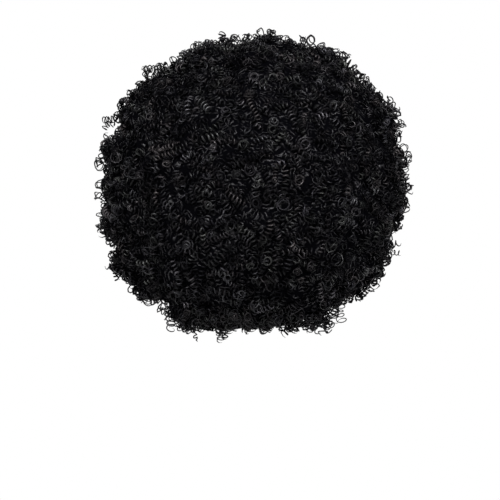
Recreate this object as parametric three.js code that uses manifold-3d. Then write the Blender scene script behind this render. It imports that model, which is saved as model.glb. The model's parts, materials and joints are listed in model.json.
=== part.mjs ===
// A curly wig: a stretch cap in a soft edge band, with rows of curl locks sewn round it.
// Millimetres and degrees, +Z up. The front hairline faces -Y, and +X is the wig's left.
// The origin is the highest spot of the cap's inside.
import * as THREE from 'three';
import Module from 'manifold-3d';

// The cap's inside, an egg shape measured from its widest level
const insideHalfWidth = 77;
const insideHalfLength = 95;
const insideHeight = 75;
const insideDepth = 130;
const insideSetBack = 5; // of the widest level's centre, behind the origin

// The cap and its edge band
const capWall = 1.5;
const edgeBandWall = 2.4;
const edgeBandHeight = 12;
const seatGap = 0.4; // between pieces that are sewn together

// The weft tracks that carry the locks
const trackWall = 2.2;
const trackHeight = 7;

// How far the hair stands off the cap
const hairDepthSide = 58;
const hairDepthTop = 60;
const hairDepthBack = 50;
const hairDepthFront = 36;
const hairBelowNape = 27;

// The rows run round the whorl, which lies behind the crown, down to the hairline
const whorlTilt = 37;
const lastRowPolar = 99;
const capEdgePolar = 103;
const weftCount = 7;
const lockGap = 1.2; // between neighbouring locks, at their widest
const middleLockShare = 0.78; // of the room that a lock in a row has
const lockRootRadius = 2; // where a lock is sewn into its track
const lockRootHeight = 0.1; // of its foot over the track's underside

// How far gravity turns a lock's tip down, as a share of its direction
const sagBack = 0.52;
const sagFront = 0.2;
const sagOnset = 1.5; // how late the sag sets in, from the whorl down
const lockLift = 0.5; // how long a lock keeps straight out before it turns

// A lock's corners, going round it. Shares of half its height along the rows' slope and of half its width.
const lockCorners = [
  { down: 0, side: 1 },
  { down: 1, side: 0.68 },
  { down: 1, side: -0.68 },
  { down: 0, side: -1 },
  { down: -1, side: -0.68 },
  { down: -1, side: 0.68 },
];

// Shares of the way to the outer form, and of the lock's place in its row
const lockWidestOut = 0.72;
const lockTopOut = 0.95;
const lockTopFill = 0.79;
const tipUnevenness = 0.15; // the most that a lock is shorter than the form, as a share
const topLean = 0.19; // how far the top stands off the lock's middle, as a share of its half width
const tipLean = 0.42;

const capSteps = 24; // facets round the cap, the band and the tracks

const radians = THREE.MathUtils.degToRad;
const goldenShare = (Math.sqrt(5) - 1) / 2;
const leanTurn = 2.4; // from one lock's lean to the next one's, in radians
const rowPitch = radians(lastRowPolar) / (weftCount + 1);
const halfGap = lockGap / (insideHalfWidth + capWall + hairDepthSide) / 2;
const lockHalfDown = rowPitch / 2 - halfGap;

const formCentre = new THREE.Vector3(0, insideSetBack, -insideHeight);
const whorlAxis = new THREE.Vector3(0, Math.sin(radians(whorlTilt)), Math.cos(radians(whorlTilt)));
const sideAxis = new THREE.Vector3(1, 0, 0);
const frontAxis = new THREE.Vector3().crossVectors(sideAxis, whorlAxis);

const wasm = await Module();
wasm.setup();

// The direction from the egg's centre at an angle from the whorl, going round from the left to the front
function directionAt(polar, around) {
  return new THREE.Vector3()
    .addScaledVector(whorlAxis, Math.cos(polar))
    .addScaledVector(sideAxis, Math.sin(polar) * Math.cos(around))
    .addScaledVector(frontAxis, Math.sin(polar) * Math.sin(around));
}

// Half lengths of an egg shape along the way a direction points
function onEgg(direction, halfWidth, halfBack, halfFront, height, depth) {
  const along = direction.y > 0 ? halfBack : halfFront;
  const upright = direction.z > 0 ? height : depth;
  const scaled = new THREE.Vector3(direction.x / halfWidth, direction.y / along, direction.z / upright);
  return direction.clone().divideScalar(scaled.length()).add(formCentre);
}

function onInside(direction) {
  return onEgg(direction, insideHalfWidth, insideHalfLength, insideHalfLength, insideHeight, insideDepth);
}

// A point at a height over the cap's inside, square to it
function overInside(direction, height) {
  const skin = onInside(direction);
  const fromCentre = skin.clone().sub(formCentre);
  const upright = fromCentre.z > 0 ? insideHeight : insideDepth;
  const normal = new THREE.Vector3(
    fromCentre.x / insideHalfWidth ** 2,
    fromCentre.y / insideHalfLength ** 2,
    fromCentre.z / upright ** 2,
  ).normalize();
  return { point: skin.addScaledVector(normal, height), normal };
}

// Where the hair that leaves the cap in a direction ends, after gravity has turned it down
function onOuterForm(direction) {
  const share = THREE.MathUtils.clamp(direction.angleTo(whorlAxis) / radians(lastRowPolar), 0, 1.2);
  const backness = THREE.MathUtils.smoothstep(direction.y, -1, 0.2);
  const sag = THREE.MathUtils.lerp(sagFront, sagBack, backness) * share ** sagOnset;
  const turned = direction.clone();
  turned.z -= sag;
  return onEgg(
    turned.normalize(),
    insideHalfWidth + capWall + hairDepthSide,
    insideHalfLength + capWall + hairDepthBack,
    insideHalfLength + capWall + hairDepthFront,
    insideHeight + capWall + hairDepthTop,
    insideDepth + capWall + hairBelowNape,
  );
}

// The way that hair takes from the cap to the outer form
function hairPath(direction) {
  const root = overInside(direction, capWall + seatGap);
  const tip = onOuterForm(direction);
  const bend = root.point.clone().addScaledVector(root.normal, lockLift * tip.distanceTo(root.point));
  return new THREE.QuadraticBezierCurve3(root.point, bend, tip);
}

// Joins rings of points into a solid. It closes on end points, or on itself without them.
function solidFromRings(rings, firstPoint, lastPoint) {
  const size = rings[0].length;
  const points = rings.flat();
  const faces = [];
  const joined = firstPoint ? rings.length - 1 : rings.length;
  for (let ring = 0; ring < joined; ring += 1) {
    const next = ((ring + 1) % rings.length) * size;
    for (let side = 0; side < size; side += 1) {
      const turn = (side + 1) % size;
      const corner = ring * size + side;
      const beside = ring * size + turn;
      faces.push([corner, beside, next + turn], [corner, next + turn, next + side]);
    }
  }
  if (firstPoint) {
    const first = points.push(firstPoint) - 1;
    const last = points.push(lastPoint) - 1;
    const lastRing = (rings.length - 1) * size;
    for (let side = 0; side < size; side += 1) {
      const turn = (side + 1) % size;
      faces.push([first, turn, side], [last, lastRing + side, lastRing + turn]);
    }
  }
  const vertProperties = new Float32Array(points.flatMap((point) => point.toArray()));
  return new wasm.Manifold(new wasm.Mesh({ numProp: 3, vertProperties, triVerts: new Uint32Array(faces.flat()) }));
}

function geometryOf(solid) {
  const made = solid.getMesh();
  const geometry = new THREE.BufferGeometry();
  geometry.setAttribute('position', new THREE.BufferAttribute(new Float32Array(made.vertProperties), 3));
  geometry.setIndex(new THREE.BufferAttribute(new Uint32Array(made.triVerts), 1));
  geometry.computeVertexNormals();
  return geometry;
}

function stepsRound(count, offset = 0) {
  return Array.from({ length: count }, (_, step) => ((step + offset) / count) * 2 * Math.PI);
}

// A closed strip round the cap: its section's corners are given by an angle round
function stripRound(cornersAt) {
  return solidFromRings(stepsRound(capSteps).map(cornersAt));
}

// The angle at the egg's centre over a length on the cap's inside
function angleOver(length, direction) {
  return length / onInside(direction).distanceTo(formCentre);
}

function cap() {
  const ringAt = (polar, height) =>
    stepsRound(capSteps).map((around) => overInside(directionAt(polar, around), height).point);
  const underWefts = Array.from({ length: weftCount }, (_, weftNumber) => rowPitch * (weftNumber + 2));
  const polars = [...underWefts, radians(capEdgePolar)];
  const outside = polars.map((polar) => ringAt(polar, capWall));
  const inside = polars.map((polar) => ringAt(polar, 0)).reverse();
  return solidFromRings(
    [...outside, ...inside],
    overInside(whorlAxis, capWall).point,
    overInside(whorlAxis, 0).point,
  );
}

function edgeBand() {
  const inset = (edgeBandWall - capWall) / 2;
  return stripRound((around) => {
    const edge = directionAt(radians(capEdgePolar), around);
    const top = radians(capEdgePolar) + angleOver(seatGap, edge);
    const bottom = top + angleOver(edgeBandHeight, edge);
    const cornerAt = (polar, height) => overInside(directionAt(polar, around), height).point;
    return [
      cornerAt(top, -inset),
      cornerAt(bottom, -inset),
      cornerAt(bottom, capWall + inset),
      cornerAt(top, capWall + inset),
    ];
  });
}

function track(polar) {
  return stripRound((around) => {
    const middle = directionAt(polar, around);
    const half = angleOver(trackHeight / 2, middle);
    const floor = capWall + seatGap;
    const cornerAt = (edge, height) => overInside(directionAt(edge, around), height).point;
    return [
      cornerAt(polar - half, floor),
      cornerAt(polar + half, floor),
      cornerAt(polar + half, floor + trackWall),
      cornerAt(polar - half, floor + trackWall),
    ];
  });
}

// One tuft of curls, as the form that it fills: narrow at the root, full and round-topped outside
function lock(polar, around, halfDown, halfSide, number) {
  const besideMiddle = (down, side) =>
    polar === 0
      ? directionAt(Math.hypot(down, side), Math.atan2(side, down))
      : directionAt(polar + down, around + side / Math.sin(polar));
  const pointAt = (down, side, out) => hairPath(besideMiddle(down * halfDown, side * halfSide)).getPoint(out);
  const middle = besideMiddle(0, 0);
  const reach = 1 - tipUnevenness * ((number * goldenShare) % 1);
  const rootOut = lockRootHeight / hairPath(middle).getLength();
  const rootFill = angleOver(lockRootRadius, middle) / halfDown;
  const leanWay = number * leanTurn;
  const leant = (down, side, lean, out) =>
    pointAt(down + lean * Math.sin(leanWay), side + lean * Math.cos(leanWay), out);
  const ringAt = (out, fill, lean) =>
    lockCorners.map((corner) => leant(corner.down * fill, corner.side * fill, lean, out));
  const rings = [
    ringAt(rootOut, rootFill, 0),
    ringAt(lockWidestOut, 1, 0),
    ringAt(lockTopOut * reach, lockTopFill, topLean),
  ];
  return solidFromRings(rings, pointAt(0, 0, rootOut), leant(0, 0, tipLean, reach));
}

// The locks of one row, evenly spaced round it, each row's first lock set on by half a lock
function locksOfRow(row) {
  const polar = rowPitch * row;
  const count = Math.floor((2 * Math.PI * Math.sin(polar)) / rowPitch);
  const halfSide = (Math.PI * Math.sin(polar)) / count - halfGap;
  return stepsRound(count, (row % 2) / 2).map((around, place) =>
    lock(polar, around, lockHalfDown, halfSide, row * count + place),
  );
}

// A round patch with the first row, and the middle lock of the whorl
function crownWhorl() {
  const ringPolar = rowPitch;
  const patchPolar = ringPolar + angleOver(trackHeight / 2, whorlAxis);
  const ringAt = (height) =>
    stepsRound(capSteps).map((around) => overInside(directionAt(patchPolar, around), height).point);
  const floor = capWall + seatGap;
  const patch = solidFromRings(
    [ringAt(floor + trackWall), ringAt(floor)],
    overInside(whorlAxis, floor + trackWall).point,
    overInside(whorlAxis, floor).point,
  );
  const middleLock = lock(0, 0, lockHalfDown * middleLockShare, lockHalfDown * middleLockShare, 0);
  return [middleLock, ...locksOfRow(1)].reduce((whole, tuft) => whole.add(tuft), patch);
}

function weft(row) {
  return locksOfRow(row).reduce((whole, tuft) => whole.add(tuft), track(rowPitch * row));
}

const netMaterial = new THREE.MeshStandardMaterial({ color: 0x161415, roughness: 0.9, metalness: 0 });
const elasticMaterial = new THREE.MeshStandardMaterial({ color: 0x1c1a1b, roughness: 0.8, metalness: 0 });
const hairMaterial = new THREE.MeshStandardMaterial({ color: 0x0d0d0e, roughness: 0.45, metalness: 0 });

const wig = new THREE.Group();

function addPiece(name, solid, material) {
  const piece = new THREE.Mesh(geometryOf(solid), material);
  piece.name = name;
  wig.add(piece);
}

addPiece('cap', cap(), netMaterial);
addPiece('edge_band', edgeBand(), elasticMaterial);
addPiece('crown_whorl', crownWhorl(), hairMaterial);
for (let number = 1; number <= weftCount; number += 1) {
  addPiece(`weft_${number}`, weft(number + 1), hairMaterial);
}

export default wig;
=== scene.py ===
"""The looks of a curly wig: coiled black hair on a stretch cap, seen straight from behind.

Metres, +Z up. The front hairline faces -Y and the origin is the highest spot of the cap's inside.
"""

import json
import math

import bpy
import numpy as np
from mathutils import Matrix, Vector

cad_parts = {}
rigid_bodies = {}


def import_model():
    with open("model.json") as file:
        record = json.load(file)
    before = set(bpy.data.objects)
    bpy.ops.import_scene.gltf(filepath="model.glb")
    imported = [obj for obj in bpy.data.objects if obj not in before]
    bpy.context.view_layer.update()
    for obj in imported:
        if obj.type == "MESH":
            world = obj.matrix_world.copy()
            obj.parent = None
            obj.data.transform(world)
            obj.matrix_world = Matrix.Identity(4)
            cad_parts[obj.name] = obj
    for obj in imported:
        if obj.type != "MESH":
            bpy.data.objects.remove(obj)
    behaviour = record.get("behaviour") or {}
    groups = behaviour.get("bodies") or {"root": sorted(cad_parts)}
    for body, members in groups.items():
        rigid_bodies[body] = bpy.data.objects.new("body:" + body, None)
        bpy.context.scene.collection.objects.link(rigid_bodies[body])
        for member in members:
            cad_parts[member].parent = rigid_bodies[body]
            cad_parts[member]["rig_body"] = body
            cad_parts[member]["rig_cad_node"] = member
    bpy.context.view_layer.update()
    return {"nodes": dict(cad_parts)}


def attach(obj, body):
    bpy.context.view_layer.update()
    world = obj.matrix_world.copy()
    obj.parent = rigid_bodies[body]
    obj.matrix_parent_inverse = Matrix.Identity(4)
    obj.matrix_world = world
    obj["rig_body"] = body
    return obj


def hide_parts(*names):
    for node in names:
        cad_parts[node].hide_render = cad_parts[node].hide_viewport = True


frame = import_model()
chance = np.random.default_rng(20)
millimetre = 0.001
tiny = 1e-9

# The nodes of hair from the whorl outwards, and the number that stands for the curls at the hairline
row_count = 8
hair_nodes = ["crown_whorl"] + [f"weft_{number}" for number in range(1, row_count)]
hairline = len(hair_nodes)

# The cap's inside is an egg shape about this centre: half its width, half its length, its height and depth
egg_centre = np.array([0.0, 0.005, -0.075])
egg_half_width = 0.077
egg_half_length = 0.095
egg_height = 0.075
egg_depth = 0.130
cap_wall = 1.9 * millimetre
net_height = 2.6 * millimetre

# How far the hair stands off the cap, and how far gravity turns it down at the back and in front
depth_side = 0.058
depth_top = 0.060
depth_back = 0.050
depth_front = 0.036
depth_nape = 0.027
sag_back = 0.52
sag_front = 0.2
sag_onset = 1.5
sag_limit = 1.2
back_from = -1.0
back_to = 0.2
straight_share = 0.5

# The rows run round the whorl, down to the hairline
whorl_tilt = math.radians(37)
last_row = math.radians(99)
row_pitch = last_row / row_count
rim_spread = 0.85 * row_pitch / 2
golden_share = (math.sqrt(5) - 1) / 2
tip_unevenness = 0.15
tip_lean = 0.42 * row_pitch / 2
lean_turn = 2.4
lean_limit = 0.3
tuft_width = 11 * millimetre
valley_depth = 3.5 * millimetre
valley_from = 0.4 * tuft_width
valley_to = 1.5 * tuft_width
heading_spread = 0.9
seam_half_width = 0.016
seam_height = 1.6
whorl_axis = np.array([0.0, math.sin(whorl_tilt), math.cos(whorl_tilt)])
side_axis = np.array([1.0, 0.0, 0.0])
front_axis = np.cross(side_axis, whorl_axis)

# The imported mass under the curls, and the strokes of curl that its surface shows with painted highlights
# and shade
mass_depth = 4.5 * millimetre
mass_lump = 1.6 * millimetre
lump_size = 9 * millimetre
lump_middle = 0.3
mass_segments = 170
mass_rings = 130
mass_outer_run = 0.62
mass_wall_run = 0.80
underside_facing = 0.5
stroke_pitch = 3.1 * millimetre
stroke_bend = 60.0
stroke_reach = 3.4 * millimetre
stroke_waver = 5 * millimetre
stroke_gloss = 0.35

# Tufts that stand out, and dents, as the rear view shows them on its outline. Each has its angle from the
# right of the view, upwards, and its half width, both in degrees, and how far out it stands in millimetres.
outline_centre = np.array([0.0, 0.02, -0.0775])
outline_inner = 0.07
outline_outer = 0.115
outline_thickness = 0.05
outline_tufts = [
    (-56, 6, -9.0), (-46, 4, 4.0), (-24, 6, -8.0), (-13, 4, -3.5), (-5, 5, 4.0), (12, 7, 3.5),
    (19, 4, -5.0), (24.5, 4, 4.0), (30, 6, 6.0), (39, 7, 1.5), (53, 8, 5.5), (67, 4, -3.0),
    (78, 4, -3.5), (98, 7, -9.0), (123, 7, -9.0), (144, 4, -3.0), (150, 5, 4.0), (159, 4, -11.0),
    (165, 4, 8.0), (174, 4, -6.0), (187, 4, -5.0), (193, 9, 4.0), (198, 4, 5.0), (204, 5, -11.0),
    (210, 5, 8.0), (217, 4, -3.0), (228, 6, 11.0), (234.5, 3.5, -19.0), (241, 5, 22.0),
]

# How far a curl strays from an even coil: across its axis, in radius, in the turn that it has reached and in
# roundness, and how many such waves it has along its length
coil_drift = 0.5 * millimetre
coil_swell = 0.12
coil_uneven = 0.5
coil_roundness = (0.75, 1.0)
coil_waves = (0.7, 1.8)

# A strand of curled hair has three sides, and thins over a short run at each end
strand_sides = 3
end_run = 0.06
end_thickness = 0.35

# The curls that cover the mass: small ones close to it, rings seen end-on, springs that lie along it and
# looser ones that stand out. Lengths are in millimetres, tilt is in radians from the way out of the mass,
# and steps are those of one turn. The depths in lit, in millimetres, are those over which a curl's painted
# shade deepens, and gleam holds the limits of each curl's gloss and painted light.
under_spacing = 5.2 * millimetre
ring_spacing = 17 * millimetre
ring_clearance = 6.5 * millimetre
cover_spacing = 6.1 * millimetre
loose_spacing = 12 * millimetre
seat_height = 8 * millimetre
tries_a_seat = 8
outward_lean = 0.25
droop = (0.0, 2.5)
under_curls = {
    "count": 1300, "radius": (2.6, 4.0), "taper": (0.6, 1.1), "pitch": (2.8, 3.9), "turns": (3.4, 5.6),
    "strand": (0.54, 0.70), "tilt": (0.7, 1.57), "proud": (-5.0, -1.0), "steps": 6, "spread": 1.5,
    "lit": (3.0, 9.0), "gleam": (0.18, 1.15), "bow": (0.5, 5.0),
}
ring_curls = {
    "count": 170, "radius": (4.3, 6.6), "taper": (0.3, 0.6), "pitch": (0.9, 1.8), "turns": (2.8, 4.2),
    "strand": (0.50, 0.66), "tilt": (0.0, 0.5), "proud": (1.5, 3.5), "steps": 12, "spread": 3.0,
    "lit": (3.0, 11.0), "gleam": (0.3, 0.85), "bow": (0.3, 1.0),
}
spring_curls = {
    "count": 1800, "radius": (1.9, 3.2), "taper": (0.6, 1.15), "pitch": (3.0, 4.2), "turns": (3.2, 7.2),
    "strand": (0.68, 0.92), "tilt": (1.05, 1.57), "proud": (-1.0, 2.0), "steps": 7, "spread": 0.55,
    "lit": (1.8, 7.5), "gleam": (0.12, 1.5), "bow": (0.5, 5.0),
}
loose_curls = {
    "count": 380, "radius": (3.2, 5.2), "taper": (0.6, 1.1), "pitch": (0.9, 2.6), "turns": (1.5, 3.0),
    "strand": (0.46, 0.58), "tilt": (0.6, 1.57), "proud": (2.5, 7.5), "steps": 11, "spread": 3.0,
    "lit": (4.0, 12.0), "gleam": (0.2, 0.9), "bow": (0.3, 2.0),
}

# How glossy the curls are and how much painted light they carry: few of them gleam, each has stretches of
# painted highlight, duller and glossier in turn, their deeper parts have painted shade, and so do those at
# the hairline and down the nape
gleam_rarity = 1.7
glint_waves = (0.5, 1.6)
glint_starts = (0, 9)
glint_middle = 0.7
glint_swing = 0.3
deep_from = 2.5 * millimetre
hairline_light = 0.55
nape_light = 0.55
nape_low = -0.215
nape_high = -0.100

# Painted light: patches of the pile painted lighter than those about them, as if they caught more light
patch_count = 9
patch_ways = chance.normal(size=(patch_count, 3))
patch_widths = chance.uniform(15, 50, patch_count) * millimetre
patch_starts = chance.uniform(0, 2 * math.pi, patch_count)
patch_strength = 1.7
patch_middle = 0.85

# Curls that stand off the rear view's outline or hang from the nape. Each has the spots where it starts and
# ends, across and down from the view's top left corner, how far it comes towards the viewer and its radius,
# all in the rear view's steps of 0.87 mm, and then its turns.
free_curls = [
    (168, 67, 143, 71, 12, 4.2, 8.0), (152, 70, 142, 71, 6, 2.4, 3.5), (158, 67, 157, 66, 4, 4.4, 1.6),
    (165, 64, 165, 65, 3, 2.0, 1.5), (173, 65, 174, 66, 4, 3.4, 2.0), (177, 63, 182, 51, 4, 1.9, 3.4),
    (188, 55, 188, 56, 3, 2.8, 2.0), (193, 47, 196, 46, 4, 3.2, 2.6), (208, 43, 208, 43, 4, 3.9, 1.8),
    (223, 42, 222, 33, 4, 4.8, 4.6), (233, 39, 233, 38, 4, 3.2, 1.8),
    (245, 39, 246, 38, 4, 3.9, 2.2), (249, 37, 248, 35, 3, 2.2, 2.4), (256, 37, 257, 37, 3, 3.0, 1.8),
    (262, 34, 261, 33, 4, 5.2, 1.3), (269, 33, 269, 31, 4, 2.8, 3.0), (273, 34, 274, 32, 3, 2.6, 2.4),
    (293, 45, 293, 44, 4, 3.8, 1.6), (302, 41, 303, 38, 4, 3.8, 3.0), (310, 41, 311, 40, 4, 5.4, 2.4),
    (313, 47, 313, 48, 3, 2.6, 2.0), (321, 48, 321, 47, 4, 4.4, 2.4), (331, 49, 332, 49, 3, 1.9, 1.4),
    (348, 59, 350, 54, 2, 1.4, 1.4), (354, 67, 355, 67, 3, 2.9, 2.4), (358, 72, 358, 72, 3, 2.3, 1.8),
    (363, 76, 363, 76, 3, 3.3, 2.0), (367, 80, 367, 80, 3, 3.0, 2.0), (369, 86, 370, 86, 3, 2.2, 1.8),
    (378, 97, 378, 97, 4, 4.5, 2.4), (386, 104, 386, 104, 4, 3.4, 2.6), (394, 113, 397, 109, 3, 3.2, 1.8),
    (400, 123, 400, 123, 3, 3.2, 2.0), (402, 125, 402, 125, 3, 4.2, 1.2), (404, 148, 404, 148, 4, 4.2, 2.0),
    (409, 156, 409, 154, 3, 3.8, 1.2), (406, 164, 406, 165, 3, 2.2, 2.0), (406, 177, 406, 177, 3, 4.2, 1.4),
    (409, 187, 409, 190, 4, 4.6, 2.2), (402, 198, 405, 211, 7, 4.8, 3.6), (401, 216, 401, 217, 3, 2.5, 1.8),
    (399, 226, 400, 230, 3, 2.6, 2.4), (383, 246, 398, 243, 12, 3.6, 4.6),
    (384, 250, 400, 254, 12, 3.0, 4.8), (381, 268, 381, 268, 3, 3.0, 1.3),
    (374, 282, 374, 282, 3, 3.0, 2.6), (371, 289, 371, 289, 3, 3.8, 1.3), (359, 295, 360, 294, 3, 2.8, 2.6),
    (350, 301, 351, 300, 3, 3.0, 3.0), (340, 298, 340, 322, 21, 4.4, 5.2), (334, 300, 333, 321, 18, 4.2, 5.4),
    (330, 302, 329, 318, 12, 3.8, 4.4), (325, 300, 324, 326, 16, 3.4, 6.0), (328, 327, 322, 334, 5, 4.4, 1.4),
    (119, 118, 103, 121, 6, 3.0, 6.0), (110, 121, 104, 130, 5, 3.0, 4.0), (118, 120, 111, 126, 4, 3.4, 2.4),
    (116, 134, 117, 135, 3, 2.3, 1.4), (104, 149, 105, 149, 3, 2.5, 1.4), (98, 163, 100, 165, 4, 6.0, 2.8),
    (101, 155, 103, 161, 4, 3.2, 3.0), (107, 170, 108, 175, 3, 2.2, 2.8), (113, 175, 114, 176, 3, 3.0, 1.8),
    (104, 181, 105, 181, 3, 3.6, 1.6), (98, 193, 99, 201, 5, 4.2, 2.2), (104, 198, 104, 210, 6, 2.6, 4.0),
    (99, 225, 100, 230, 4, 3.2, 2.4), (108, 241, 115, 247, 5, 2.8, 3.4), (113, 251, 115, 262, 4, 4.8, 3.8),
    (126, 282, 129, 281, 2, 2.0, 1.6), (136, 289, 137, 292, 3, 2.6, 2.0), (147, 302, 148, 303, 4, 4.4, 2.2),
    (162, 306, 164, 307, 4, 4.4, 2.2), (169, 304, 171, 330, 15, 4.4, 6.0), (171, 306, 173, 326, 12, 4.0, 5.0),
    (176, 312, 180, 330, 10, 3.4, 4.4), (194, 330, 197, 341, 4, 1.6, 3.0), (219, 328, 221, 341, 7, 3.4, 4.4),
    (224, 330, 225, 339, 6, 3.0, 3.6), (222, 326, 223, 334, 5, 3.2, 3.0), (246, 326, 248, 333, 4, 2.8, 2.6),
]
free_strand = (0.48, 0.66)
free_taper = (0.8, 1.05)
free_bow = 0.03
free_steps = 12
free_light = 0.17
rear_from = -0.01

# The short curls along the nape's edge, in the rear view's steps too, with the ways that they run in degrees
nape_curls = {
    "count": 175, "across": (178, 328), "down": (308, 325), "way": (225, 315), "length": (4, 11),
    "toward": (3, 8), "radius": (2.5, 3.9), "turns": (2.4, 4.4),
}

# The view straight from behind, a square of 500 steps
view_step = 0.87 * millimetre
view_steps = 500
view_height = -0.134
camera_distance = 2.2
camera_place = Vector((2.6 * millimetre, camera_distance, view_height))
sensor_width = 36

# The studio: a white backdrop that lights little, a pale floor far below and soft, slightly cool lamps
backdrop_white = 1.0
surround_light = 0.035
floor_radius = 2.4
floor_height = -1.1
lamp_colour = (0.97, 0.96, 0.99)
lamp_target = Vector((0, 0, -0.07))

# Facets of the cap and its band closer than this are joined, and then rounded this many times
facet_gap = 0.02 * millimetre
rounding_levels = 2


def deselect_all():
    """Leaves nothing selected, as an operator acts on all that is."""
    bpy.ops.object.select_all(action="DESELECT")


def unit(vectors):
    """Vectors of length 1."""
    return vectors / np.maximum(np.linalg.norm(vectors, axis=-1, keepdims=True), tiny)


def blend(value, low, high):
    """0 at low, 1 at high and smooth between them."""
    share = np.clip((value - low) / (high - low), 0, 1)
    return share * share * (3 - 2 * share)


def directions_at(polar, around):
    """Directions from the egg's centre, by their angle from the whorl and the way round it."""
    return (
        np.cos(polar)[..., None] * whorl_axis
        + (np.sin(polar) * np.cos(around))[..., None] * side_axis
        + (np.sin(polar) * np.sin(around))[..., None] * front_axis
    )


def egg_sizes(ways, width, back, front, height, depth):
    """The egg's half lengths along the ways that directions point."""
    return np.stack(
        [
            np.full(ways.shape[:-1], width),
            np.where(ways[..., 1] > 0, back, front),
            np.where(ways[..., 2] > 0, height, depth),
        ],
        axis=-1,
    )


def height_over_inside(points):
    """How far points lie outside the cap's inside, measured away from its centre."""
    ways = points - egg_centre
    sizes = egg_sizes(ways, egg_half_width, egg_half_length, egg_half_length, egg_height, egg_depth)
    distance = np.linalg.norm(ways, axis=-1)
    return distance - distance / np.maximum(np.linalg.norm(ways / sizes, axis=-1), tiny)


def hair_points(polar, around, out, short=0.0):
    """Places along the hair's way from the cap to the outer form, less a length at its end."""
    ways = directions_at(polar, around)
    sizes = egg_sizes(ways, egg_half_width, egg_half_length, egg_half_length, egg_height, egg_depth)
    inside = ways / np.linalg.norm(ways / sizes, axis=-1, keepdims=True)
    normals = unit(inside / sizes**2)
    roots = inside + normals * cap_wall
    share = np.clip(polar / last_row, 0, sag_limit)
    backness = blend(ways[..., 1], back_from, back_to)
    turned = ways.copy()
    turned[..., 2] -= (sag_front + (sag_back - sag_front) * backness) * share**sag_onset
    turned = unit(turned)
    form = egg_sizes(
        turned,
        egg_half_width + depth_side,
        egg_half_length + depth_back,
        egg_half_length + depth_front,
        egg_height + depth_top,
        egg_depth + depth_nape,
    )
    tips = turned / np.linalg.norm(turned / form, axis=-1, keepdims=True)
    reach = np.linalg.norm(tips - roots, axis=-1, keepdims=True)
    bends = roots + normals * straight_share * reach
    run = out[..., None] - np.asarray(short)[..., None] / reach
    return egg_centre + roots * (1 - run) ** 2 + 2 * bends * run * (1 - run) + tips * run**2


def lock_tips():
    """Where the locks end, how much of the way to the outer form each reaches, and the node of each."""
    polars = [0.0]
    arounds = [0.0]
    numbers = [0]
    nodes = [0]
    for row in range(1, row_count + 1):
        count = int(2 * math.pi * math.sin(row_pitch * row) / row_pitch)
        for place in range(count):
            polars.append(row_pitch * row)
            arounds.append((place + (row % 2) / 2) / count * 2 * math.pi)
            numbers.append(row * count + place)
            nodes.append(row - 1)
    polars = np.array(polars)
    numbers = np.array(numbers)
    lean = numbers * lean_turn
    arounds = np.array(arounds) + tip_lean * np.cos(lean) / np.maximum(np.sin(polars), lean_limit)
    places = hair_points(polars + tip_lean * np.sin(lean), arounds, np.ones(len(polars)))
    reaches = 1 - tip_unevenness * ((numbers * golden_share) % 1)
    return places, reaches, np.array(nodes)


tip_places, tip_reaches, tip_nodes = lock_tips()
tuft_headings = chance.normal(size=len(tip_places)) * heading_spread


def tufted_reach(polar, around):
    """How much of the way to the outer form the hair reaches, and how deep it dips between two tufts."""
    form = hair_points(polar, around, np.ones(polar.shape))
    apart = np.linalg.norm(form[..., None, :] - tip_places, axis=-1)
    weight = np.exp(-((apart / tuft_width) ** 2)) + tiny
    reach = (weight * tip_reaches).sum(axis=-1) / weight.sum(axis=-1)
    valley = valley_depth * blend(apart.min(axis=-1), valley_from, valley_to)
    return reach, valley


def light_patches(places):
    """How much painted light the pile gets, in soft patches about a tuft wide."""
    waves = unit(patch_ways) * (2 * math.pi / patch_widths)[:, None]
    return np.sin(places @ waves.T + patch_starts).sum(axis=-1) / patch_count


def new_material(name, base, roughness):
    """A finish with its colour and roughness set on the shader."""
    material = bpy.data.materials.new(name)
    material.use_nodes = True
    shader = material.node_tree.nodes["Principled BSDF"]
    shader.inputs["Base Color"].default_value = (*base, 1)
    shader.inputs["Roughness"].default_value = roughness
    return material, material.node_tree.nodes, material.node_tree.links, shader


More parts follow.
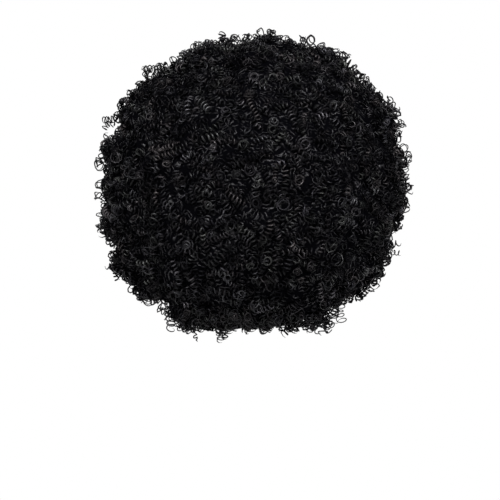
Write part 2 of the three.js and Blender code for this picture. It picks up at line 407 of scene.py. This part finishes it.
def curl_material():
    """Black fibre with a soft gloss. Each curl has a tone of its own, and the depths of the pile have painted
    shade.
    """
    material, nodes, links, shader = new_material("curled_black_fibre", (0.012, 0.012, 0.013), 0.38)
    shade = nodes.new("ShaderNodeAttribute")
    shade.attribute_name = "curl_shade"
    light = nodes.new("ShaderNodeAttribute")
    light.attribute_name = "curl_painted_light"
    tone = nodes.new("ShaderNodeValToRGB")
    tone.color_ramp.elements[0].color = (0.0034, 0.0031, 0.0041, 1)
    tone.color_ramp.elements[1].color = (0.0105, 0.0100, 0.0127, 1)
    for spot, colour in (
        (0.3, (0.0084, 0.0067, 0.0074)),
        (0.5, (0.0057, 0.0057, 0.0079)),
        (0.7, (0.0087, 0.0089, 0.0074)),
    ):
        tone.color_ramp.elements.new(spot).color = (*colour, 1)
    links.new(shade.outputs["Fac"], tone.inputs["Fac"])
    # Painted light and shade: each curl's painted light mixes its tone down to a bluish near black, the
    # colour of its painted shade, and sets its specular level from dull to glossy.
    dimmed = nodes.new("ShaderNodeMix")
    dimmed.data_type = "RGBA"
    dimmed.inputs["A"].default_value = (0.0009, 0.0009, 0.0012, 1)
    links.new(light.outputs["Fac"], dimmed.inputs["Factor"])
    links.new(tone.outputs["Color"], dimmed.inputs["B"])
    links.new(dimmed.outputs["Result"], shader.inputs["Base Color"])
    gleam = nodes.new("ShaderNodeMapRange")
    gleam.inputs["To Min"].default_value = 0.03
    gleam.inputs["To Max"].default_value = 0.68
    links.new(light.outputs["Fac"], gleam.inputs["Value"])
    links.new(gleam.outputs["Result"], shader.inputs["Specular IOR Level"])
    tint = nodes.new("ShaderNodeValToRGB")
    tint.color_ramp.elements[0].color = (0.94, 0.93, 0.98, 1)
    tint.color_ramp.elements[1].color = (0.95, 0.95, 0.98, 1)
    for spot, colour in ((0.25, (1.0, 0.93, 0.89)), (0.5, (0.92, 0.91, 0.98)), (0.75, (0.93, 0.97, 0.90))):
        tint.color_ramp.elements.new(spot).color = (*colour, 1)
    links.new(shade.outputs["Fac"], tint.inputs["Fac"])
    links.new(tint.outputs["Color"], shader.inputs["Specular Tint"])
    run = nodes.new("ShaderNodeAttribute")
    run.attribute_name = "curl_run"
    fibres = nodes.new("ShaderNodeTexNoise")
    fibres.noise_dimensions = "4D"
    fibres.inputs["Scale"].default_value = 2600
    fibres.inputs["Detail"].default_value = 2
    place = nodes.new("ShaderNodeTexCoord")
    links.new(place.outputs["Object"], fibres.inputs["Vector"])
    links.new(run.outputs["Fac"], fibres.inputs["W"])
    bump = nodes.new("ShaderNodeBump")
    bump.inputs["Strength"].default_value = 0.3
    bump.inputs["Distance"].default_value = 0.1 * millimetre
    links.new(fibres.outputs["Fac"], bump.inputs["Height"])
    links.new(bump.outputs["Normal"], shader.inputs["Normal"])
    gloss = nodes.new("ShaderNodeMapRange")
    gloss.inputs["To Min"].default_value = 0.31
    gloss.inputs["To Max"].default_value = 0.49
    links.new(fibres.outputs["Fac"], gloss.inputs["Value"])
    links.new(gloss.outputs["Result"], shader.inputs["Roughness"])
    return material


def mass_material():
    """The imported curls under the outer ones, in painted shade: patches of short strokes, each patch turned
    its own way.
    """
    material, nodes, links, shader = new_material("packed_black_curls", (0.0008, 0.0008, 0.0011), 0.42)
    place = nodes.new("ShaderNodeTexCoord")
    waver = nodes.new("ShaderNodeTexNoise")
    waver.inputs["Scale"].default_value = 170
    waver.inputs["Detail"].default_value = 1
    links.new(place.outputs["Object"], waver.inputs["Vector"])
    offset = nodes.new("ShaderNodeVectorMath")
    offset.operation = "MULTIPLY_ADD"
    offset.inputs[1].default_value = (stroke_waver, stroke_waver, stroke_waver)
    links.new(waver.outputs["Color"], offset.inputs[0])
    links.new(place.outputs["Object"], offset.inputs[2])
    cells = nodes.new("ShaderNodeTexVoronoi")
    cells.inputs["Scale"].default_value = 150
    links.new(offset.outputs["Vector"], cells.inputs["Vector"])
    inside = nodes.new("ShaderNodeVectorMath")
    inside.operation = "SUBTRACT"
    links.new(offset.outputs["Vector"], inside.inputs[0])
    links.new(cells.outputs["Position"], inside.inputs[1])
    turn = nodes.new("ShaderNodeVectorMath")
    turn.operation = "SCALE"
    turn.inputs["Scale"].default_value = 2 * math.pi
    links.new(cells.outputs["Color"], turn.inputs[0])
    turned = nodes.new("ShaderNodeVectorRotate")
    turned.rotation_type = "EULER_XYZ"
    links.new(inside.outputs["Vector"], turned.inputs["Vector"])
    links.new(turn.outputs["Vector"], turned.inputs["Rotation"])
    parts = nodes.new("ShaderNodeSeparateXYZ")
    links.new(turned.outputs["Vector"], parts.inputs["Vector"])

    def worked_out(operation, first, second):
        """The result of one step of arithmetic on sockets or numbers."""
        node = nodes.new("ShaderNodeMath")
        node.operation = operation
        for socket, value in zip(node.inputs, (first, second)):
            if isinstance(value, float):
                socket.default_value = value
            else:
                links.new(value, socket)
        return node.outputs["Value"]

    squared = worked_out("MULTIPLY", parts.outputs["Y"], parts.outputs["Y"])
    bend = worked_out("MULTIPLY", squared, stroke_bend)
    across = worked_out("ADD", parts.outputs["X"], bend)
    angle = worked_out("MULTIPLY", across, 2 * math.pi / stroke_pitch)
    strokes = worked_out("SINE", angle, 0.0)
    crest = nodes.new("ShaderNodeMapRange")
    crest.inputs["From Min"].default_value = 0.1
    links.new(strokes, crest.inputs["Value"])
    fade = nodes.new("ShaderNodeMapRange")
    fade.inputs["From Min"].default_value = 0.75
    fade.inputs["From Max"].default_value = 0.30
    links.new(cells.outputs["Distance"], fade.inputs["Value"])
    ends = nodes.new("ShaderNodeMapRange")
    ends.inputs["From Min"].default_value = stroke_reach
    ends.inputs["From Max"].default_value = 0.4 * stroke_reach
    links.new(worked_out("ABSOLUTE", parts.outputs["Y"], 0.0), ends.inputs["Value"])
    held = worked_out("MULTIPLY", fade.outputs["Result"], ends.outputs["Result"])
    stroke = worked_out("MULTIPLY", crest.outputs["Result"], held)
    # Painted light: the strokes' crests are painted lighter and glossier as painted highlights, and the gaps
    # between them near black as painted shade, darker than the outer curls.
    tone = nodes.new("ShaderNodeValToRGB")
    tone.color_ramp.elements[0].color = (0.0008, 0.0008, 0.0011, 1)
    tone.color_ramp.elements[1].color = (0.0049, 0.0047, 0.0055, 1)
    links.new(stroke, tone.inputs["Fac"])
    links.new(tone.outputs["Color"], shader.inputs["Base Color"])
    gloss = worked_out("MULTIPLY", stroke, stroke_gloss)
    links.new(gloss, shader.inputs["Specular IOR Level"])
    bump = nodes.new("ShaderNodeBump")
    bump.inputs["Strength"].default_value = 1.0
    bump.inputs["Distance"].default_value = 0.9 * millimetre
    links.new(stroke, bump.inputs["Height"])
    links.new(bump.outputs["Normal"], shader.inputs["Normal"])
    return material


def net_material():
    """Stretch net: a fine mesh of threads, crossed by the stitching of the rows of hair."""
    material, nodes, links, shader = new_material("stretch_net", (0.020, 0.019, 0.020), 0.8)
    shader.inputs["Sheen Weight"].default_value = 0.35
    shader.inputs["Sheen Roughness"].default_value = 0.5
    place = nodes.new("ShaderNodeTexCoord")
    heights = []
    for axis, turn in (("X", 0.6), ("Z", -0.5)):
        turned = nodes.new("ShaderNodeMapping")
        turned.inputs["Rotation"].default_value = (0.2, turn, 0.3)
        links.new(place.outputs["Object"], turned.inputs["Vector"])
        threads = nodes.new("ShaderNodeTexWave")
        threads.bands_direction = axis
        threads.inputs["Scale"].default_value = 170
        threads.inputs["Distortion"].default_value = 0.6
        links.new(turned.outputs["Vector"], threads.inputs["Vector"])
        heights.append(threads.outputs["Fac"])
    weave = nodes.new("ShaderNodeMath")
    weave.operation = "MAXIMUM"
    links.new(heights[0], weave.inputs[0])
    links.new(heights[1], weave.inputs[1])
    from_middle = nodes.new("ShaderNodeVectorMath")
    from_middle.operation = "SUBTRACT"
    from_middle.inputs[1].default_value = tuple(egg_centre)
    links.new(place.outputs["Object"], from_middle.inputs[0])
    direction = nodes.new("ShaderNodeVectorMath")
    direction.operation = "NORMALIZE"
    links.new(from_middle.outputs["Vector"], direction.inputs[0])
    towards_whorl = nodes.new("ShaderNodeVectorMath")
    towards_whorl.operation = "DOT_PRODUCT"
    towards_whorl.inputs[1].default_value = tuple(whorl_axis)
    links.new(direction.outputs["Vector"], towards_whorl.inputs[0])
    polar = nodes.new("ShaderNodeMath")
    polar.operation = "ARCCOSINE"
    links.new(towards_whorl.outputs["Value"], polar.inputs[0])
    from_row = nodes.new("ShaderNodeMath")
    from_row.operation = "PINGPONG"
    from_row.inputs[1].default_value = row_pitch / 2
    links.new(polar.outputs["Value"], from_row.inputs[0])
    seam = nodes.new("ShaderNodeMapRange")
    seam.inputs["From Min"].default_value = seam_half_width
    seam.inputs["From Max"].default_value = 0.4 * seam_half_width
    links.new(from_row.outputs["Value"], seam.inputs["Value"])
    height = nodes.new("ShaderNodeMath")
    height.operation = "MULTIPLY_ADD"
    height.inputs[1].default_value = seam_height
    links.new(seam.outputs["Result"], height.inputs[0])
    links.new(weave.outputs["Value"], height.inputs[2])
    bump = nodes.new("ShaderNodeBump")
    bump.inputs["Strength"].default_value = 0.8
    bump.inputs["Distance"].default_value = 0.6 * millimetre
    links.new(height.outputs["Value"], bump.inputs["Height"])
    links.new(bump.outputs["Normal"], shader.inputs["Normal"])
    return material


def elastic_material():
    """Soft elastic: fine ribs across the band and a slight sheen."""
    material, nodes, links, shader = new_material("soft_elastic", (0.016, 0.015, 0.016), 0.75)
    shader.inputs["Sheen Weight"].default_value = 0.3
    shader.inputs["Sheen Roughness"].default_value = 0.4
    place = nodes.new("ShaderNodeTexCoord")
    ribs = nodes.new("ShaderNodeTexWave")
    ribs.bands_direction = "Y"
    ribs.inputs["Scale"].default_value = 200
    ribs.inputs["Distortion"].default_value = 0.3
    links.new(place.outputs["Object"], ribs.inputs["Vector"])
    bump = nodes.new("ShaderNodeBump")
    bump.inputs["Strength"].default_value = 0.6
    bump.inputs["Distance"].default_value = 0.4 * millimetre
    links.new(ribs.outputs["Fac"], bump.inputs["Height"])
    links.new(bump.outputs["Normal"], shader.inputs["Normal"])
    return material


def smooth_copy(node, name):
    """A rounded copy of a node: its facets merged, paired and subdivided."""
    deselect_all()
    source = frame["nodes"][node]
    source.select_set(True)
    bpy.context.view_layer.objects.active = source
    bpy.ops.object.duplicate()
    copy = bpy.context.view_layer.objects.active
    copy.name = name
    copy.data.name = name
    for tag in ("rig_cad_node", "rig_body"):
        if tag in copy:
            del copy[tag]
    copy.parent = None
    copy.data.materials.clear()
    bpy.ops.object.mode_set(mode="EDIT")
    bpy.ops.mesh.select_all(action="SELECT")
    bpy.ops.mesh.remove_doubles(threshold=facet_gap)
    bpy.ops.mesh.tris_convert_to_quads()
    bpy.ops.object.mode_set(mode="OBJECT")
    rounded = copy.modifiers.new("rounded", "SUBSURF")
    rounded.levels = rounding_levels
    rounded.render_levels = rounding_levels
    bpy.ops.object.modifier_apply(modifier="rounded")
    bpy.ops.object.shade_smooth()
    return copy


def outline_relief(places):
    """How far the tufts and dents of the rear view's outline move the hair."""
    away = places - outline_centre
    turn = np.degrees(np.arctan2(away[:, 2], -away[:, 0]))
    near_outline = blend(np.hypot(away[:, 0], away[:, 2]), outline_inner, outline_outer)
    near_outline = near_outline * np.exp(-((away[:, 1] / outline_thickness) ** 2))
    relief = np.zeros(len(places))
    for middle, width, height in outline_tufts:
        apart = (turn - middle + 180) % 360 - 180
        relief += height * millimetre * np.exp(-((apart / width) ** 2))
    return relief * near_outline


def coils(middles, ways, sizes, steps_a_turn):
    """The centrelines of coiled curls, one row a curl, with the ways out from their axes."""
    count = len(middles)
    turns = sizes["turns"]
    steps = int(round(turns.max() * steps_a_turn))
    along = np.linspace(0, 1, steps + 1)[None, :, None]
    sideways = unit(np.cross(ways, chance.normal(size=(count, 3))))
    beside = np.cross(ways, sideways)
    bow = (2 * along - 1) ** 2 - 0.5
    phases = chance.uniform(0, 2 * math.pi, (4, count, 1, 1))
    waves = chance.uniform(*coil_waves, (4, count, 1, 1))
    drift = [np.sin(2 * math.pi * wave * along + phase) for wave, phase in zip(waves, phases)]
    spine = (
        middles[:, None]
        + ways[:, None] * (along - 0.5) * sizes["length"][:, None, None]
        + sideways[:, None] * (bow * sizes["bow"][:, None, None] + drift[0] * coil_drift)
        + beside[:, None] * drift[1] * coil_drift
        - np.array([0.0, 0.0, 1.0]) * along**2 * sizes["droop"][:, None, None]
    )
    forward = unit(np.gradient(spine, axis=1))
    first = unit(sideways[:, None] - (sideways[:, None] * forward).sum(axis=2, keepdims=True) * forward)
    second = np.cross(forward, first)
    taper = 1 + (sizes["taper"][:, None, None] - 1) * along
    radius = sizes["radius"][:, None, None] * (1 + coil_swell * drift[2]) * taper
    angle = 2 * math.pi * turns[:, None, None] * along + coil_uneven * drift[3]
    angle = angle + chance.uniform(0, 2 * math.pi, (count, 1, 1))
    roundness = chance.uniform(*coil_roundness, (count, 1, 1))
    outward = np.cos(angle) * first + np.sin(angle) * second * roundness
    return spine + outward * radius, unit(outward)


def outside_the_cap(lines):
    """Moves what would reach through the cap out to its net."""
    height = height_over_inside(lines)
    ways = unit(lines - egg_centre)
    return lines + ways * np.clip(net_height - height, 0, None)[..., None]


def tubes(lines, outward, strands):
    """Closed three-sided tubes along centrelines: points, four-cornered faces and end faces."""
    count, steps = lines.shape[:2]
    forward = unit(np.gradient(lines, axis=1))
    outward = unit(outward - (outward * forward).sum(axis=2, keepdims=True) * forward)
    beside = np.cross(forward, outward)
    along = np.linspace(0, 1, steps)[None, :, None]
    ends = np.clip(np.minimum(along, 1 - along) / end_run, end_thickness, 1)
    thick = strands[:, None, None] * ends
    rings = []
    for side in range(strand_sides):
        angle = 2 * math.pi * side / strand_sides
        rings.append(lines + (math.cos(angle) * outward + math.sin(angle) * beside) * thick)
    points = np.stack(rings, axis=2).reshape(-1, 3)
    ring = np.arange(count * steps).reshape(count, steps)
    near = ring[:, :-1, None] * strand_sides
    far = ring[:, 1:, None] * strand_sides
    side = np.arange(strand_sides)
    turned = (side + 1) % strand_sides
    walls = np.stack([near + side, near + turned, far + turned, far + side], axis=3).reshape(-1, 4)
    root_ends = ring[:, 0, None] * strand_sides + side[::-1]
    tip_ends = ring[:, -1, None] * strand_sides + side
    return points, walls, np.concatenate([root_ends, tip_ends])


class CurlPile:
    """Curls gathered for one node, to be made into one mesh."""

    def __init__(self):
        self.points = []
        self.walls = []
        self.ends = []
        self.shades = []
        self.runs = []
        self.lit = []
        self.start = 0

    def add(self, lines, outward, strands, lit):
        """Takes in curls that have the same number of steps, and the painted light of each step."""
        count, steps = lines.shape[:2]
        points, walls, ends = tubes(lines, outward, strands)
        self.points.append(points)
        self.walls.append(walls + self.start)
        self.ends.append(ends + self.start)
        self.shades.append(np.repeat(chance.random(count), steps * strand_sides))
        run = np.linalg.norm(np.diff(lines, axis=1), axis=2).cumsum(axis=1)
        run = np.concatenate([np.zeros((count, 1)), run], axis=1)
        self.runs.append(np.repeat(run.reshape(-1), strand_sides))
        self.lit.append(np.repeat(lit.reshape(-1), strand_sides))
        self.start += len(points)

    def build(self, name, material):
        """One smooth mesh of all the curls. Each keeps a shade, the run along its strand and its painted
        light.
        """
        points = np.concatenate(self.points)
        walls = np.concatenate(self.walls)
        ends = np.concatenate(self.ends)
        corners = np.concatenate([walls.reshape(-1), ends.reshape(-1)])
        starts = np.concatenate([np.arange(len(walls)) * 4, walls.size + np.arange(len(ends)) * 3])
        mesh = bpy.data.meshes.new(name)
        mesh.vertices.add(len(points))
        mesh.vertices.foreach_set("co", points.astype(np.float32).reshape(-1))
        mesh.loops.add(len(corners))
        mesh.loops.foreach_set("vertex_index", corners.astype(np.int32))
        mesh.polygons.add(len(starts))
        mesh.polygons.foreach_set("loop_start", starts.astype(np.int32))
        mesh.update(calc_edges=True)
        mesh.shade_smooth()
        for label, values in (("curl_shade", self.shades), ("curl_run", self.runs), ("curl_painted_light", self.lit)):
            layer = mesh.attributes.new(label, "FLOAT", "POINT")
            layer.data.foreach_set("value", np.concatenate(values).astype(np.float32))
        mesh.materials.append(material)
        obj = bpy.data.objects.new(name, mesh)
        bpy.context.scene.collection.objects.link(obj)
        return obj


def mesh_arrays(obj):
    """The places of a mesh's points, and its triangles' corners in an order that is always the same."""
    mesh = obj.data
    mesh.calc_loop_triangles()
    places = np.zeros(len(mesh.vertices) * 3)
    mesh.vertices.foreach_get("co", places)
    corners = np.zeros(len(mesh.loop_triangles) * 3, np.int32)
    mesh.loop_triangles.foreach_get("vertices", corners)
    corners = corners.reshape(-1, 3)
    lowest = corners.argmin(axis=1)[:, None]
    turned = np.take_along_axis(corners, (lowest + np.arange(3)) % 3, axis=1)
    return places.reshape(-1, 3), turned[np.lexsort(turned.T[::-1])]


def packed_mass(material):
    """The body of hair under the curls, closed at the rim and the cap, and its places before the lumps."""
    deselect_all()
    bpy.ops.mesh.primitive_uv_sphere_add(segments=mass_segments, ring_count=mass_rings, radius=1)
    mass = bpy.context.view_layer.objects.active
    mass.name = "packed_hair"
    mass.data.name = "packed_hair"
    places, _ = mesh_arrays(mass)
    run = np.arccos(np.clip(places[:, 2], -1, 1)) / math.pi
    around = np.arctan2(-places[:, 1], places[:, 0])
    rim = last_row + rim_spread
    outer = run <= mass_outer_run
    inner = run >= mass_wall_run
    polar = np.where(outer, run / mass_outer_run * rim, rim)
    polar = np.where(inner, (1 - run) / (1 - mass_wall_run) * last_row, polar)
    reach, valley = tufted_reach(polar, around)
    down = np.clip((run - mass_outer_run) / (mass_wall_run - mass_outer_run), 0, 1)
    out = np.where(outer, reach, reach * (1 - down))
    polar = np.where(outer | inner, polar, rim - (rim - last_row) * down**2)
    short = np.where(outer, valley + mass_depth, (valley + mass_depth) * (1 - down))
    places = hair_points(polar, around, out, short)
    places = places + unit(places - egg_centre) * outline_relief(places)[:, None]
    mass.data.vertices.foreach_set("co", places.astype(np.float32).reshape(-1))
    mass.data.update()
    even_places, _ = mesh_arrays(mass)
    lumps = bpy.data.textures.new("lumps", "VORONOI")
    lumps.noise_scale = lump_size
    pushed = mass.modifiers.new("lumps", "DISPLACE")
    pushed.texture = lumps
    pushed.texture_coords = "LOCAL"
    pushed.strength = -mass_lump
    pushed.mid_level = lump_middle
    bpy.ops.object.modifier_apply(modifier="lumps")
    bpy.ops.object.shade_smooth()
    mass.data.materials.append(material)
    return mass, even_places


def owners_of(places, normals):
    """The node of each place's nearest lock, or the hairline where the hair turns under."""
    nearest = np.linalg.norm(places[:, None] - tip_places, axis=2).argmin(axis=1)
    facing = (unit(places - egg_centre) * normals).sum(axis=1)
    return np.where(facing < underside_facing, hairline, tip_nodes[nearest])


def crossed_sides(triangles):
    """The way out of each triangle, as long as twice its area."""
    return np.cross(triangles[:, 1] - triangles[:, 0], triangles[:, 2] - triangles[:, 0])


class Seats:
    """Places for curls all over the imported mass, settled on its even form and read off its lumpy one."""

    def __init__(self, mass, even_places):
        places, corners = mesh_arrays(mass)
        self.triangles = places[corners]
        self.normals = unit(crossed_sides(self.triangles))
        self.even = even_places[corners]
        self.even_normals = unit(crossed_sides(self.even))
        size = np.linalg.norm(crossed_sides(self.even), axis=1)
        size[height_over_inside(self.even.mean(axis=1)) < seat_height] = 0
        self.share = size / size.sum()

    def pick(self, count, spacing, earlier=None, clearance=0.0):
        """Chance seats at least a spacing apart and clear of the even places of earlier ones."""
        picked = chance.choice(len(self.share), size=count * tries_a_seat, p=self.share)
        first, second = chance.random((2, len(picked), 1))
        folded = first + second > 1
        first = np.where(folded, 1 - first, first)
        second = np.where(folded, 1 - second, second)
        shares = np.stack([1 - first - second, first, second], axis=1)
        places = (self.even[picked] * shares).sum(axis=1)
        kept = []
        taken = np.zeros((count, 3))
        for index, place in enumerate(places):
            if len(kept) == count:
                break
            if earlier is not None and ((earlier - place) ** 2).sum(axis=1).min() < clearance**2:
                continue
            apart = taken[: len(kept)] - place
            if not kept or (apart * apart).sum(axis=1).min() > spacing**2:
                taken[len(kept)] = place
                kept.append(index)
        chosen = picked[kept]
        return {
            "even": places[kept],
            "places": (self.triangles[chosen] * shares[kept]).sum(axis=1),
            "normals": self.normals[chosen],
            "owners": owners_of(places[kept], self.even_normals[chosen]),
        }


def chance_values(limits, count):
    """Values that fall by chance between two limits."""
    return chance.uniform(limits[0], limits[1], count)


def scatter(piles, seats, kind):
    """Adds curls of one kind on seats to the piles of the nodes that they belong to."""
    places = seats["places"]
    owners = seats["owners"]
    count = len(places)
    outward = unit(seats["normals"] + outward_lean * unit(places - egg_centre))
    tuft = np.linalg.norm(seats["even"][:, None] - tip_places, axis=2).argmin(axis=1)
    heading = tuft_headings[tuft] + chance.normal(size=count) * kind["spread"]
    level = unit(np.cross(outward, [0.0, 0.0, 1.0]) + 1e-6)
    upward = np.cross(level, outward)
    tangent = level * np.cos(heading)[:, None] + upward * np.sin(heading)[:, None]
    tilt = chance_values(kind["tilt"], count)
    ways = unit(outward * np.cos(tilt)[:, None] + tangent * np.sin(tilt)[:, None])
    sizes = {
        "radius": chance_values(kind["radius"], count) * millimetre,
        "turns": chance_values(kind["turns"], count),
        "taper": chance_values(kind["taper"], count),
        "bow": chance_values(kind["bow"], count) * millimetre,
        "droop": chance_values(droop, count) * millimetre,
    }
    dullest, glossiest = kind["gleam"]
    gleam = dullest + (glossiest - dullest) * chance.random(count) ** gleam_rarity
    # Painted shade: curls where the hair turns under at the hairline, and low down the nape, are painted
    # darker and less glossy.
    gleam *= np.where(owners == hairline, hairline_light, 1)
    gleam *= nape_light + (1 - nape_light) * blend(places[:, 2], nape_low, nape_high)
    sizes["length"] = sizes["turns"] * chance_values(kind["pitch"], count) * millimetre
    strands = chance_values(kind["strand"], count) * millimetre
    half_reach = sizes["length"] / 2 * np.cos(tilt) + sizes["radius"] * np.sin(tilt)
    proud = mass_depth + chance_values(kind["proud"], count) * millimetre
    middles = places + outward * (proud - half_reach)[:, None]
    whole_turns = np.round(sizes["turns"]).astype(int)
    for owner, pile in enumerate(piles):
        for turn in np.unique(whole_turns):
            mine = (owners == owner) & (whole_turns == turn)
            if mine.any():
                chosen = {label: values[mine] for label, values in sizes.items()}
                lines, away = coils(middles[mine], ways[mine], chosen, kind["steps"])
                # Painted light along each curl: painted shade that deepens as it goes into the pile,
                # stretches of painted highlight and patches of painted light.
                height = ((lines - places[mine][:, None]) * outward[mine][:, None]).sum(axis=2)
                depth = (mass_depth + deep_from - height) / millimetre
                along = np.linspace(0, 1, lines.shape[1])
                waves = chance_values(glint_waves, (len(lines), 1))
                starts = chance_values(glint_starts, (len(lines), 1))
                glints = glint_middle + glint_swing * np.sin(2 * math.pi * waves * along + starts)
                patches = patch_middle + patch_strength * light_patches(lines)
                lit = (1 - blend(depth, *kind["lit"])) * gleam[mine][:, None] * glints * patches
                pile.add(outside_the_cap(lines), away, strands[mine], np.clip(lit, 0, 1))


def seen_at(across, down):
    """The places at the wig's middle depth that the rear view shows this far across and down."""
    middle = view_steps / 2
    aside = camera_place.x - (across - middle) * view_step
    return np.stack([aside, np.zeros(len(aside)), view_height - (down - middle) * view_step], axis=1)


def free_piles(piles, surface):
    """Adds the free curls and the nape's short ones, each at the depth of the mass nearest to it."""
    count = nape_curls["count"]
    across = chance_values(nape_curls["across"], count)
    down = chance_values(nape_curls["down"], count)
    way = np.radians(chance_values(nape_curls["way"], count))
    length = chance_values(nape_curls["length"], count)
    short = [across, down, across + length * np.cos(way), down - length * np.sin(way)]
    for size in ("toward", "radius", "turns"):
        short.append(chance_values(nape_curls[size], count))
    rows = np.concatenate([np.array(free_curls), np.stack(short, axis=1)])
    starts = seen_at(rows[:, 0], rows[:, 1])
    runs = seen_at(rows[:, 2], rows[:, 3]) - starts
    runs[:, 1] = rows[:, 4] * view_step
    skin = surface.even.mean(axis=1)
    rear = (skin[:, 1] > rear_from) & (surface.share > 0)
    skin = skin[rear]
    eye = np.array(camera_place)
    seen = eye + (skin - eye) / (1 - skin[:, 1:2] / camera_distance)
    aside = (seen[:, None, [0, 2]] - starts[:, [0, 2]]) ** 2
    nearest = aside.sum(axis=2).argmin(axis=0)
    middles = eye + (starts + runs / 2 - eye) * (1 - skin[nearest, 1:2] / camera_distance)
    length = np.linalg.norm(runs, axis=1)
    sizes = {
        "radius": rows[:, 5] * view_step,
        "turns": rows[:, 6],
        "taper": chance_values(free_taper, len(rows)),
        "bow": free_bow * length,
        "droop": np.zeros(len(rows)),
        "length": length,
    }
    owners = owners_of(skin[nearest], surface.even_normals[rear][nearest])
    whole_turns = np.ceil(rows[:, 6]).astype(int)
    strands = chance_values(free_strand, len(rows)) * millimetre
    for owner, pile in enumerate(piles):
        for turn in np.unique(whole_turns):
            mine = (owners == owner) & (whole_turns == turn)
            if mine.any():
                chosen = {label: values[mine] for label, values in sizes.items()}
                lines, away = coils(middles[mine], unit(runs[mine]), chosen, free_steps)
                # The free curls all carry one even level of painted light.
                lit = np.full(lines.shape[:2], free_light)
                pile.add(outside_the_cap(lines), away, strands[mine], lit)


def hair_pieces():
    """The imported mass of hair, and the curls of every row over it, in place of the rows' plain locks."""
    fibre = curl_material()
    mass, even_places = packed_mass(mass_material())
    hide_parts(*hair_nodes)
    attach(mass, "root")
    surface = Seats(mass, even_places)
    piles = [CurlPile() for _ in range(hairline + 1)]
    scatter(piles, surface.pick(under_curls["count"], under_spacing), under_curls)
    rings = surface.pick(ring_curls["count"], ring_spacing)
    scatter(piles, rings, ring_curls)
    springs = surface.pick(spring_curls["count"], cover_spacing, rings["even"], ring_clearance)
    scatter(piles, springs, spring_curls)
    scatter(piles, surface.pick(loose_curls["count"], loose_spacing), loose_curls)
    free_piles(piles, surface)
    for name, node, pile in zip(hair_nodes + ["hairline"], hair_nodes + hair_nodes[-1:], piles):
        curls = pile.build(name + "_curls", fibre)
        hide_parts(node)
        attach(curls, "root")


def cap_and_band():
    """The rounded net cap and its edge band, in place of their faceted nodes."""
    shell = smooth_copy("cap", "cap_net_shell")
    shell.data.materials.append(net_material())
    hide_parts("cap")
    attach(shell, "root")
    band = smooth_copy("edge_band", "edge_band_elastic")
    band.data.materials.append(elastic_material())
    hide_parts("edge_band")
    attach(band, "root")


def studio():
    """A white surround, a pale floor far below, soft lights and the camera."""
    scene = bpy.context.scene
    scene.view_settings.view_transform = "Standard"
    world = bpy.data.worlds.new("white_studio")
    world.use_nodes = True
    scene.world = world
    nodes = world.node_tree.nodes
    links = world.node_tree.links
    surround = nodes["Background"]
    surround.inputs["Color"].default_value = (1, 1, 1, 1)
    surround.inputs["Strength"].default_value = surround_light
    backdrop = nodes.new("ShaderNodeBackground")
    backdrop.inputs["Color"].default_value = (1, 1, 1, 1)
    backdrop.inputs["Strength"].default_value = backdrop_white
    seen = nodes.new("ShaderNodeLightPath")
    mix = nodes.new("ShaderNodeMixShader")
    links.new(seen.outputs["Is Camera Ray"], mix.inputs["Fac"])
    links.new(surround.outputs["Background"], mix.inputs[1])
    links.new(backdrop.outputs["Background"], mix.inputs[2])
    links.new(mix.outputs["Shader"], nodes["World Output"].inputs["Surface"])

    deselect_all()
    spot = (0, 0, floor_height)
    bpy.ops.mesh.primitive_circle_add(vertices=96, radius=floor_radius, fill_type="NGON", location=spot)
    floor = bpy.context.view_layer.objects.active
    floor.name = "pale_floor"
    paint, _, _, _ = new_material("pale_floor_paint", (0.86, 0.86, 0.86), 0.8)
    floor.data.materials.append(paint)

    for name, place, size, power in (
        ("key_softbox", (0.1, 1.75, 1.25), 0.8, 85),
        ("right_softbox", (-1.7, 1.5, 0.7), 1.0, 77),
        ("left_softbox", (1.7, 1.5, 0.7), 1.0, 52),
        ("front_softbox", (0.3, -1.8, 1.0), 1.2, 14),
    ):
        light_data = bpy.data.lights.new(name, "AREA")
        light_data.size = size
        light_data.energy = power
        light_data.color = lamp_colour
        light = bpy.data.objects.new(name, light_data)
        light.location = place
        aim = lamp_target - light.location
        light.rotation_euler = aim.to_track_quat("-Z", "Y").to_euler()
        scene.collection.objects.link(light)

    lens = bpy.data.cameras.new("rear_view")
    lens.sensor_width = sensor_width
    lens.lens = sensor_width * camera_distance / (view_steps * view_step)
    camera = bpy.data.objects.new("rear_view", lens)
    camera.location = camera_place
    camera.rotation_euler = (math.radians(90), 0, math.radians(180))
    scene.collection.objects.link(camera)
    scene.camera = camera


hair_pieces()
cap_and_band()
studio()
